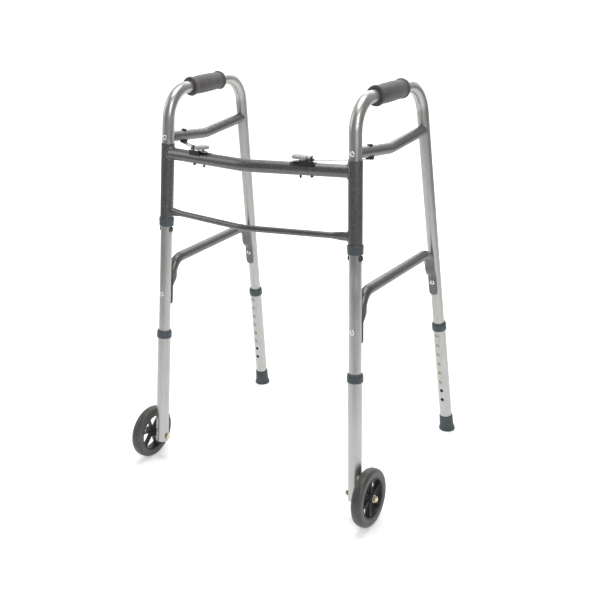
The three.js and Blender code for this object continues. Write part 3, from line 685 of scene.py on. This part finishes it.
def spoke(angle):
    """Thin web that widens into the boss and into the rim."""
    rings = []
    for r in (6.0, 9.0, 11.5, 14.0, 18.0, 26.0, 32.0, 35.5, 38.0, 40.6):
        ends = max(0, (14 - r) / 7) ** 2 + max(0, (r - 34) / 6) ** 2
        thick = 1.35 + 1.4 * ends
        wide = 5.6 + 1.6 * ends
        ring = []
        for x, y in SPOKE_SECTION:
            ring.append(Vector((r, x * thick, WHEEL_OUT + y * wide)))
        rings.append(ring)
    bm = bmesh.new()
    loft(bm, rings, cap_start=True, cap_end=True)
    return about(bm, Matrix.Rotation(angle, 4, "Z"))


def hub():
    outer = TYRE_BORE - GAP
    rim = [
        (outer, -10.6),
        (outer, 10.6),
        (outer - 1.4, 10.9),
        (outer - 2.6, 10.2),
        (outer - 3.4, 6.5),
        (outer - 3.6, 0),
        (outer - 3.4, -6.5),
        (outer - 2.6, -10.2),
        (outer - 1.4, -10.9),
    ]
    rim_mesh = about(turned(eased(rim, 0.5, 3, True), 96, True), up_by(WHEEL_OUT))
    boss = [(4.4, HUB_IN), (8.6, HUB_IN), (9.4, 22), (10.5, 28)]
    boss += [(10.5, 36), (9.2, 41.5), (8.2, HUB_OUT), (4.4, HUB_OUT)]

    def lobed(angle, radius, height):
        if radius < 6:
            return 1
        return 1 + 0.07 * math.cos(6 * (angle - math.radians(15)))

    boss_mesh = turned(eased(boss, 0.7, 3, True), 72, True, lobed)
    return joined(rim_mesh, boss_mesh, *(spoke(math.radians(15 + 60 * i)) for i in range(6)))


def axle_bolt():
    head = -SLEEVE_R - GAP
    faces = [(0, head - 4.6), (6.6, head - 4.6), (7.5, head - 3.9), (7.5, head), (0, head)]
    hexagon = turned(eased(faces, 0.2), 6)
    profile = [(0, head - 0.8), (4, head - 0.8), (4, HUB_OUT)]
    for k in range(8):
        profile += [(4, HUB_OUT + k), (3.5, HUB_OUT + k + 0.5)]
    return joined(hexagon, turned([*profile, (3.2, HUB_OUT + 8), (0, HUB_OUT + 8)], 28))


def axle_nut():
    seat = HUB_OUT + GAP
    nut = [(4.4, seat + 0.7), (6.6, seat + 0.7), (7.3, seat + 1.2)]
    nut += [(7.3, seat + 4.0), (6.4, seat + 4.6), (4.4, seat + 4.6)]
    cap = [(4.4, seat + 4.2), (5.9, seat + 4.2), (5.9, seat + 5.6), (5.2, seat + 6.2), (4.4, seat + 6.2)]
    washer = [(4.4, seat), (8.2, seat), (8.2, seat + 0.8), (4.4, seat + 0.8)]
    hexagon = turned(eased(nut, 0.2, 2, True), 6, True)
    rounds = [turned(eased(cap, 0.3, 3, True), 32, True), turned(eased(washer, 0.2, 2, True), 40, True)]
    return joined(hexagon, *rounds)


# ---- front --------------------------------------------------------------------------------


def bar_line(bar, extra, bend, shift, reach=6):
    """Stations of a crossbar, bent once at the middle, ending inside both sleeves."""
    end_x, end_y = bar["end"]
    slope = (end_y - bar["apex"]) / end_x
    xs = [*extra, end_x - reach]
    half = [Vector((x, bar["apex"] + slope * x + shift, bar["up"])) for x in xs]
    mirrored = [Vector((-p.x, p.y, p.z)) for p in half[::-1]]
    corners = [*mirrored, Vector((0, bar["apex"] + shift, bar["up"])), *half]
    bends = [bend if p.x == 0 else 0 for p in corners[1:-1]]
    return bent_path(corners, bends, 16)


def upper_crossbar(shift):
    return tube(bar_line(UPPER_BAR, [], 100, shift), Z_AXIS, BAR_R, BAR_R - BAR_WALL, 48)


def low_size(x):
    t = min(max((abs(x) - 182) / 28, 0), 1)
    flare = t * t * (3 - 2 * t)
    return LOW_BAR_R * (1 + 0.42 * flare), LOW_BAR_R * (1 - 0.28 * flare)


def lower_crossbar(shift):
    extra = [182 + 3 * k for k in range(11)]
    stations = bar_line(LOWER_BAR, extra, 80, shift)
    bm = bmesh.new()
    loft(bm, [section(s, Z_AXIS, *low_size(s[0].x), 36) for s in stations], cap_start=True, cap_end=True)
    return bm


WELD_START = 30.0  # how far short of its end a bar is followed, to find where it meets the sleeve


def bar_welds(name, side, place, shift):
    """Fillets where the two crossbars run into a sleeve."""
    inverse = place.inverted()
    for label, bar, size in (("upper", UPPER_BAR, (BAR_R, BAR_R)), ("lower", LOWER_BAR, low_size(230))):
        end_x, end_y = bar["end"]
        along = Vector((side * end_x, end_y - bar["apex"], 0)).normalized()
        back = bar["apex"] + (end_y - bar["apex"]) * (1 - WELD_START / end_x) + shift
        middle = Vector((side * (end_x - WELD_START), back, bar["up"]))
        points, normals = [], []
        for k in range(60):
            angle = 2 * math.pi * k / 60
            ring = Z_AXIS * math.cos(angle) * size[0] + Z_AXIS.cross(along) * math.sin(angle) * size[1]
            start = inverse @ ((middle + ring) * MM)
            heading = (inverse.to_3x3() @ along).normalized()
            a = heading.x**2 + heading.y**2
            b = 2 * (start.x * heading.x + start.y * heading.y)
            c = start.x**2 + start.y**2 - (SLEEVE_R + 0.4) ** 2
            root = b * b - 4 * a * c
            if root <= 0:
                points = []
                break
            points.append(start + heading * (-b - math.sqrt(root)) / (2 * a))
            normals.append((inverse.to_3x3() @ ring).normalized())
        if points:
            radius = 2.6 if label == "upper" else 2.0
            weld_bead(f"{name}_{label}_weld", points, normals, radius, place, "front", int(bar["up"]) + side)


# ---- fold latch ---------------------------------------------------------------------------


def latch_frame(name, side):
    """Frame at the lock pin, level with the upper crossbar's middle, X along the bar to the right."""
    hinge = JOINTS[f"{name}_paddle_press"]
    y = Vector(hinge["axis"]) * -side
    y.normalize()
    x = y.cross(Z_AXIS)
    pivot = Vector(hinge["pos_m"])
    origin = pivot - (x * side * FULCRUM[0] + y * FULCRUM[1]) * MM
    origin.z = UPPER_BAR["up"] * MM
    return placed(origin, x, y, Z_AXIS)


def rounded(knots, steps=5):
    """Closed smooth line through a list of points."""
    points = [Vector(k) for k in knots]
    count = len(points)
    out = []
    for i in range(count):
        a, b, c, d = (points[(i + k) % count] for k in (-1, 0, 1, 2))
        for k in range(steps):
            t = k / steps
            square, cube = a * 2 - b * 5 + c * 4 - d, b * 3 - a - c * 3 + d
            out.append(0.5 * (b * 2 + (c - a) * t + square * t * t + cube * t**3))
    return out


PAD_LINE = [
    (-10.4, 10.6),
    (-15, 12.9),
    (-24, 13.3),
    (-33, 13.0),
    (-38.6, 9.6),
    (-40.6, 2.4),
    (-39.2, -5.0),
    (-34, -8.7),
    (-24, -9.0),
    (-15, -8.7),
    (-10.6, -7.0),
    (-9.4, 2.0),
]
LEVER_LINE = [
    (5.6, 0),
    (4.2, 4.4),
    (0, 5.9),
    (-6, 6.6),
    (-12, 8.2),
    (-17, 5.4),
    (-18, 0.6),
    (-17, -3.8),
    (-12, -6.6),
    (-6, -6.2),
    (0, -5.8),
    (4.2, -4.4),
]


def slab(line, levels, spine, crown):
    """Domed plate over a closed line: levels are (share of the way to the spine, height)."""
    outline = rounded(line)
    top = levels[-1][1]
    rings = []
    for inset, height in levels:
        ring = []
        for point in outline:
            core = Vector((min(max(point.x, spine[0]), spine[1]), spine[2]))
            p = point + (core - point) * inset
            inboard = min(max(-p.x, 0), 41) / 41
            ring.append(Vector((p.x, p.y, height + crown * math.sin(math.pi * inboard) * height / top)))
        rings.append(ring)
    bm = bmesh.new()
    loft(bm, rings)
    return bm


def on_hinge(bm, side):
    """Tips a plate by the press angle and puts it on the fulcrum."""
    about(bm, Matrix.Rotation(PRESS_ANGLE, 4, "Y"))
    if side < 0:
        about(bm, Matrix.Scale(-1, 4, X_AXIS))
    return about(bm, Matrix.Translation((side * FULCRUM[0], FULCRUM[1], PADDLE_UP - UPPER_BAR["up"])))


def palm_pad(side):
    levels = [(1.0, 0.3), (0.5, 0.2), (0.08, 0.2), (0.02, 0.5), (0.0, 1.2), (0.0, 3.4), (0.02, 4.4)]
    levels += [(0.07, 5.2), (0.16, 5.9), (0.3, 6.3), (0.5, 6.6), (0.75, 6.7), (1.0, 6.75)]
    return on_hinge(slab(PAD_LINE, levels, (-30, -19, 2.0), 0.9), side)


def lever(side):
    levels = [(1.0, 0.0), (0.5, 0.0), (0.08, 0.0), (0.0, 0.5), (0.0, 2.4)]
    levels += [(0.06, 3.1), (0.2, 3.5), (0.6, 3.7), (1.0, 3.75)]
    return on_hinge(slab(LEVER_LINE, levels, (-11, 0, 0.4), 0.5), side)


def fulcrum_rivet(side):
    under = -BAR_R - GAP
    over = FULCRUM_TOP_UP - UPPER_BAR["up"]
    profile = [
        (0, under - 2.4),
        (2.6, under - 2.2),
        (3.6, under - 0.9),
        (3.6, under),
        (2.2, under),
        (2.2, over),
        (4.3, over),
        (4.1, over + 1.0),
        (2.6, over + 1.9),
        (0, over + 2.2),
    ]
    return about(turned(eased(profile, 0.4), 32), Matrix.Translation((side * FULCRUM[0], FULCRUM[1], 0)))


def lock_pin():
    foot, neck, top = (h - UPPER_BAR["up"] for h in (702.8, 732, 740.5))
    profile = [(0, foot), (1.7, foot), (2.4, foot + 0.8), (2.4, neck), (1.6, neck), (1.6, top), (0, top)]
    return turned(eased(profile, 0.3), 32)


def stadium(low, high, half, count=24):
    out = []
    for k in range(count + 1):
        angle = -math.pi / 2 + math.pi * k / count
        out.append((high - half + half * math.cos(angle), half * math.sin(angle)))
    for k in range(count + 1):
        angle = math.pi / 2 + math.pi * k / count
        out.append((low + half + half * math.cos(angle), half * math.sin(angle)))
    return out


def strap():
    """Slotted steel strap with its edges broken."""
    thick = STRAP_HALF_THICK
    edge = [(0.35, thick), (0.1, thick - 0.1), (0, thick - 0.35)]
    rings = []
    for inset, z in edge + [(inset, -z) for inset, z in edge[::-1]]:
        rings.append((stadium(inset - 14.5, STRAP_REACH + 7 - inset, 6.5 - inset), z))
    for inset, z in ((0.3, -thick), (0, 0.3 - thick), (0, thick - 0.3), (0.3, thick)):
        rings.append((stadium(-8.5 - inset, STRAP_REACH - 28 + inset, 3.2 + inset), z))
    bm = bmesh.new()
    loft(bm, [[Vector((x, y, z)) for x, y in ring] for ring, z in rings], closed_path=True)
    return bm


# ---- assembly -----------------------------------------------------------------------------

shift_back = side_frame("right", 1).translation.y / MM

for side, name in ((1, "right"), (-1, "left")):
    place = side_frame(name, side)
    rear = place @ REAR_IN_SIDE

    def add(part, bm, where, body, slot, sharp=35.0):
        """A piece that stands for the CAD node of its own name."""
        return finish_mesh(f"{name}_{part}_look", bm, where, body, [f"{name}_{part}"], slot, sharp)

    frame_body = f"{name}_side"
    add("side_tube", side_tube(), place, frame_body, "silver_tube")
    add("upper_brace", upper_brace(), place, frame_body, "hammered_grey")
    add("lower_brace", lower_brace(), place, frame_body, "hammered_grey", sharp=50)
    under_flat = FLAT_OFF + FLAT_HALF + GAP
    upper_rivet = rivet(-LEG_R - GAP, 19, 0)
    add("rivet_upper_front", upper_rivet, place @ up_by(UPPER_RIVET_UP), frame_body, "rivet_steel")
    front_rivet = rivet(-LEG_R - GAP, under_flat, 4.6)
    add("rivet_lower_front", front_rivet, place @ up_by(LOWER_FRONT_RIVET), frame_body, "rivet_steel")
    rear_rivet = rivet(-under_flat, LEG_R + GAP, 4.6)
    add("rivet_lower_rear", rear_rivet, rear @ up_by(LOWER_REAR_RIVET), frame_body, "rivet_steel")
    add("stop_pin", stop_pin(), place @ up_by(STOP_PIN_UP), frame_body, "dark_steel")
    swivel = JOINTS[f"{name}_strap_swivel"]
    bolt_foot = (place.inverted() @ Vector(swivel["pos_m"])).z + STRAP_HALF_THICK + GAP
    bolt_place = place @ Matrix.Translation((0, BRACE_BOLT_BACK, 0))
    add("brace_bolt", brace_bolt(bolt_foot), bolt_place, frame_body, "dark_steel")
    held = add("grip", grip(), place @ HANDLE_IN_SIDE, frame_body, "grip_vinyl", sharp=60)

    leg = f"{name}_front_leg"
    front_tube = tube(straight(*FRONT_EXT), X_AXIS, SLEEVE_R, SLEEVE_BORE, 72)
    wheel_axis = Vector(JOINTS[f"{name}_wheel_spin"]["axis"])
    wheel_at = Vector(JOINTS[f"{name}_wheel_spin"]["pos_m"])
    wheel_z = wheel_axis * side if wheel_axis.x > 0 else wheel_axis * -side
    wheel_z.normalize()
    wheel_x = Vector((0, 1, 0)) - wheel_z * wheel_z.y
    wheel_x.normalize()
    wheel_place = placed(wheel_at, wheel_x, wheel_z.cross(wheel_x), wheel_z)
    cutters = drills(FRONT_BUTTON, 2, 4, 1)
    cutters.append(about(rod_mesh(AXLE_HOLE_R, -20, 20), place.inverted() @ wheel_place))
    drilled(f"{name}_front_ext_look", front_tube, cutters, place, leg, [f"{name}_front_ext"], "silver_tube")
    add("front_collar", leg_collar(*FRONT_COLLAR, FRONT_EXT[1]), place, leg, "collar_plastic")
    button = about(snap_button(), up_by(FRONT_BUTTON) @ TO_Y)
    add("front_button", button, place, f"{name}_front_snap", "brass")

    leg = f"{name}_rear_leg"
    rear_tube = tube(straight(*REAR_EXT), X_AXIS, SLEEVE_R, SLEEVE_BORE, 72)
    cutters = drills(REAR_BUTTON, 3, 4, -1)
    drilled(f"{name}_rear_ext_look", rear_tube, cutters, rear, leg, [f"{name}_rear_ext"], "silver_tube")
    add("rear_collar", leg_collar(*REAR_COLLAR, REAR_EXT[1]), rear, leg, "collar_plastic")
    button = about(snap_button(), up_by(REAR_BUTTON) @ TO_Y @ Matrix.Rotation(math.pi, 4, "X"))
    add("rear_button", button, rear, f"{name}_rear_snap", "brass")
    add("rear_tip", rear_tip(rear), rear, leg, "tip_rubber")

    add("tyre", tyre(), wheel_place, f"{name}_wheel", "tyre_rubber")
    add("hub", hub(), wheel_place, f"{name}_wheel", "black_plastic", sharp=40)
    add("axle_bolt", axle_bolt(), wheel_place, f"{name}_front_leg", "zinc", sharp=25)
    add("axle_nut", axle_nut(), wheel_place, f"{name}_front_leg", "zinc", sharp=25)

    sleeve = tube(straight(*SLEEVE_ENDS), X_AXIS, SLEEVE_R, SLEEVE_BORE, 56)
    add("sleeve", sleeve, place, "front", "hammered_grey")
    add("sleeve_collar", sleeve_collar(), place, "front", "collar_plastic")
    bar_welds(name, side, place, shift_back)

    latch = latch_frame(name, side)
    add("paddle", palm_pad(side), latch, f"{name}_paddle_body", "paddle_plastic", sharp=60)
    finish_mesh(f"{name}_lever", lever(side), latch, f"{name}_paddle_body", (), "black_plastic", 60)
    add("fulcrum_rivet", fulcrum_rivet(side), latch, "front", "dark_steel")
    add("lock_pin", lock_pin(), latch, f"{name}_lock", "dark_steel")
    along = Vector(JOINTS[f"{name}_strap_slide"]["axis"]).normalized()
    swivel_up = Vector(swivel["axis"]).normalized() * side
    strap_place = placed(Vector(swivel["pos_m"]), along, swivel_up.cross(along), swivel_up)
    add("strap", strap(), strap_place, f"{name}_link", "strap_steel")

for node, make in (("crossbar_upper", upper_crossbar), ("crossbar_lower", lower_crossbar)):
    finish_mesh(f"{node}_look", make(shift_back), Matrix.Scale(MM, 4), "front", [node], "hammered_grey")

# CAD nodes whose shape is right keep it, and take a material and softened edges
KEPT_SLOTS = {"latch_saddle": "black_plastic", "slider": "brass", "brace_spacer": "black_plastic"}

for node, obj in frame["nodes"].items():
    if obj.hide_render:
        continue
    slot = KEPT_SLOTS[node.split("_", 1)[1]]
    obj.data.materials.clear()
    obj.data.materials.append(MATERIALS[slot])
    soft = obj.modifiers.new("soft_edges", "BEVEL")
    soft.width, soft.segments, soft.limit_method, soft.angle_limit = 0.0003, 3, "ANGLE", math.radians(40)


# ---- stage --------------------------------------------------------------------------------

AWAY = (-math.sin(AZIMUTH), math.cos(AZIMUTH), 0)
ACROSS = (math.cos(AZIMUTH), math.sin(AZIMUTH), 0)


def floor():
    """Pale sheet with a painted pool of light round the object and behind it, painted dark towards the lens
    and to the sides; the pool also glows by emission.
    """
    bm = bmesh.new()
    bmesh.ops.create_grid(bm, x_segments=8, y_segments=8, size=30)
    g = Graph("floor_painted_light")
    behind = g.node("ShaderNodeVectorMath", {0: g.place, 1: AWAY})
    aside = g.node("ShaderNodeVectorMath", {0: g.place, 1: ACROSS})
    behind.operation = aside.operation = "DOT_PRODUCT"
    depth = behind.outputs["Value"]
    off = g.node("ShaderNodeMath", {0: aside.outputs["Value"]}, operation="ABSOLUTE").outputs[0]
    spare = g.math("SUBTRACT", off, g.math("MULTIPLY", depth, 0.4))
    near = g.smooth(depth, -2.0, -0.85)
    middle = g.smooth(spare, 2.6, 1.3)
    # painted light: inside this wedge the sheet is pale and glows, and outside it the sheet is painted dark
    painted_light = g.math("MULTIPLY", near, middle)
    # painted glow that grows brighter with distance, standing in for the falloff of the lamps' light
    painted_far_glow = g.mix(g.smooth(depth, 0.2, 3.0), (0.3, 0.3, 0.3), (0.85, 0.85, 0.85))
    g.set(Base_Color=g.mix(painted_light, (0.35, 0.35, 0.35), (0.86, 0.86, 0.86)))
    g.set(Roughness=0.9, Emission_Color=g.mix(painted_light, (0.06, 0.06, 0.06), painted_far_glow))
    g.shader.inputs["Emission Strength"].default_value = 1
    g.shader.inputs["Specular IOR Level"].default_value = 0.1
    sheet = linked("floor", bm)
    sheet.data.materials.append(g.material)


def softbox(name, at, target, size, power):
    light = bpy.data.lights.new(name, "AREA")
    light.shape = "RECTANGLE"
    light.size, light.size_y = size
    light.energy = power
    obj = bpy.data.objects.new(name, light)
    obj.location = at
    obj.rotation_euler = (Vector(target) - Vector(at)).to_track_quat("-Z", "Y").to_euler()
    bpy.context.scene.collection.objects.link(obj)


floor()
softbox("key", (2.3, -1.7, 2.3), (0, 0, 0.45), (1.2, 1.9), 40)
softbox("side", (-2.2, -1.0, 1.7), (0, 0, 0.45), (0.8, 1.8), 12)
softbox("back", (-0.6, 2.6, 2.4), (0, 0, 0.5), (2.4, 1.4), 22)
softbox("top", (0, 0, 3.2), (0, 0, 0), (1.5, 1.5), 46)


def studio():
    """White wall behind the object and above it, dim towards the lens."""
    world = bpy.data.worlds.new("studio")
    world.use_nodes = True
    tree = world.node_tree
    place = tree.nodes.new("ShaderNodeTexCoord")
    along = tree.nodes.new("ShaderNodeVectorMath")
    along.operation = "DOT_PRODUCT"
    along.inputs[1].default_value = AWAY
    tree.links.new(place.outputs["Generated"], along.inputs[0])
    fade = tree.nodes.new("ShaderNodeValToRGB")
    fade.color_ramp.interpolation = "EASE"
    dim, bright = fade.color_ramp.elements
    dim.position, dim.color = 0.1, (0.28, 0.28, 0.28, 1)
    bright.position, bright.color = 0.86, (1.05, 1.05, 1.05, 1)
    tree.links.new(along.outputs["Value"], fade.inputs["Fac"])
    tree.links.new(fade.outputs["Color"], tree.nodes["Background"].inputs["Color"])
    bpy.context.scene.world = world
    bpy.context.scene.view_settings.view_transform = "Standard"


studio()


def camera():
    """Camera at the photograph's viewing angle, solved from the outline of the frame."""
    down, roll = math.radians(20.952), math.radians(-1.677)
    forward = Vector(AWAY) * math.cos(down) - Z_AXIS * math.sin(down)
    level = Vector(ACROSS)
    upright = level.cross(forward)
    right = level * math.cos(roll) + upright * math.sin(roll)
    top = upright * math.cos(roll) - level * math.sin(roll)
    data = bpy.data.cameras.new("camera")
    data.sensor_width, data.lens = 36, 52.14
    data.shift_x, data.shift_y = 0.0014, 0.0077
    data.clip_end = 60
    obj = bpy.data.objects.new("camera", data)
    turn = Matrix((right, top, -forward)).transposed().to_4x4()
    obj.matrix_world = Matrix.Translation((0.99048, -1.56807, 1.07571)) @ turn
    bpy.context.scene.collection.objects.link(obj)
    bpy.context.scene.camera = obj


camera()
